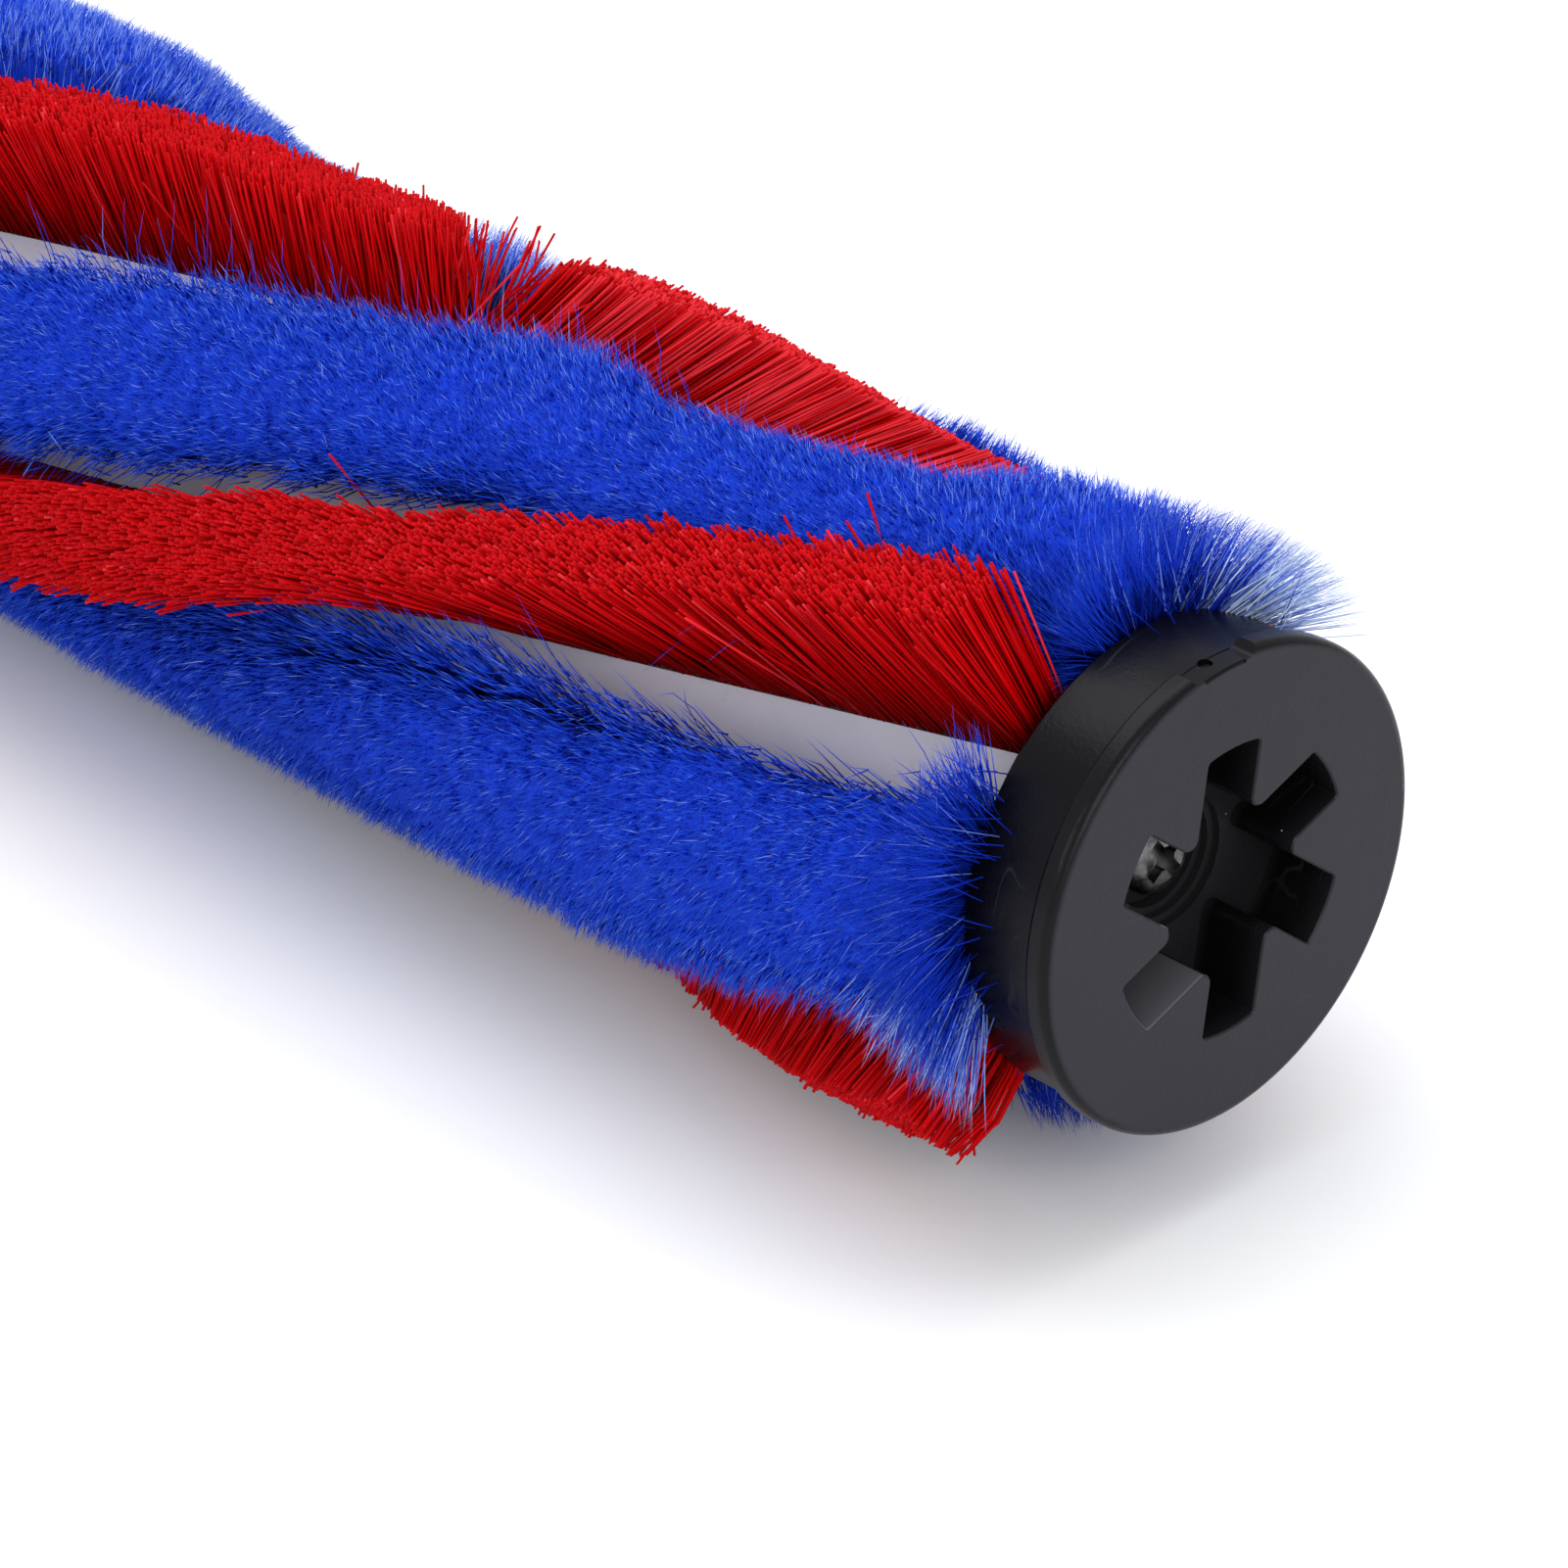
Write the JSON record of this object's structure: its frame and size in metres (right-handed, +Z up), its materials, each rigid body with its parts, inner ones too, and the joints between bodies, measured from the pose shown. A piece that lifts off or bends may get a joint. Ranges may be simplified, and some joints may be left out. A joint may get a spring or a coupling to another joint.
{
  "type": "vacuum roller brush",
  "caption": "Cylindrical vacuum roller brush with helical rows of stiff red and soft blue bristles, a black end cap with a star drive socket, and a bearing end that stays still.",
  "frame": {"origin": "on the roller's axis, at the middle of the overall length", "axes": "+X along the roller's axis towards the drive socket, +Z up, so that the picture's camera looks from +X, -Y and above"},
  "size_m": [0.226, 0.05, 0.05],
  "materials": {
    "black_plastic": "satin moulded",
    "holder_plastic": "fine grain",
    "core_plastic": "semi-gloss",
    "red_nylon": "glossy filaments",
    "blue_nylon": "fine soft filaments",
    "rail_plastic": "matte",
    "screw_steel": "zinc",
    "bearing_steel": "ground",
    "ball_steel": "polished",
    "shield_steel": "pressed sheet",
    "cage_plastic": "matte",
    "axle_steel": "turned",
    "clip_steel": "black oxide"
  },
  "bodies": {
    "holder": {"end_holder": "holder_plastic", "stub_axle": "axle_steel", "axle_clip": "clip_steel", "bearing_inner_ring": "bearing_steel"},
    "roller": {"core_tube": "core_plastic", "red_rail_1": "rail_plastic", "red_rail_2": "rail_plastic", "red_rail_3": "rail_plastic", "red_rail_4": "rail_plastic", "blue_rail_1": "rail_plastic", "blue_rail_2": "rail_plastic", "blue_rail_3": "rail_plastic", "blue_rail_4": "rail_plastic", "red_bristle_row_1": "red_nylon", "red_bristle_row_2": "red_nylon", "red_bristle_row_3": "red_nylon", "red_bristle_row_4": "red_nylon", "blue_bristle_row_1": "blue_nylon", "blue_bristle_row_2": "blue_nylon", "blue_bristle_row_3": "blue_nylon", "blue_bristle_row_4": "blue_nylon", "drive_end_cap": "black_plastic", "drive_cap_screw": "screw_steel", "idler_end_cap": "black_plastic", "bearing_outer_ring": "bearing_steel", "bearing_shield_inner": "shield_steel", "bearing_shield_outer": "shield_steel"},
    "cage": {"bearing_cage": "cage_plastic", "bearing_balls": "ball_steel"}
  },
  "joints": [
    {"name": "roller_spin", "type": "hinge", "parent": "holder", "child": "roller", "pos_m": [-0.10055, 0, 0], "axis": [1, 0, 0], "continuous": true},
    {"name": "cage_spin", "type": "hinge", "parent": "holder", "child": "cage", "pos_m": [-0.10055, 0, 0], "axis": [1, 0, 0], "continuous": true}
  ],
  "couplings": [
    {"joint": "cage_spin", "follows": "roller_spin", "ratio": 0.6415}
  ]
}
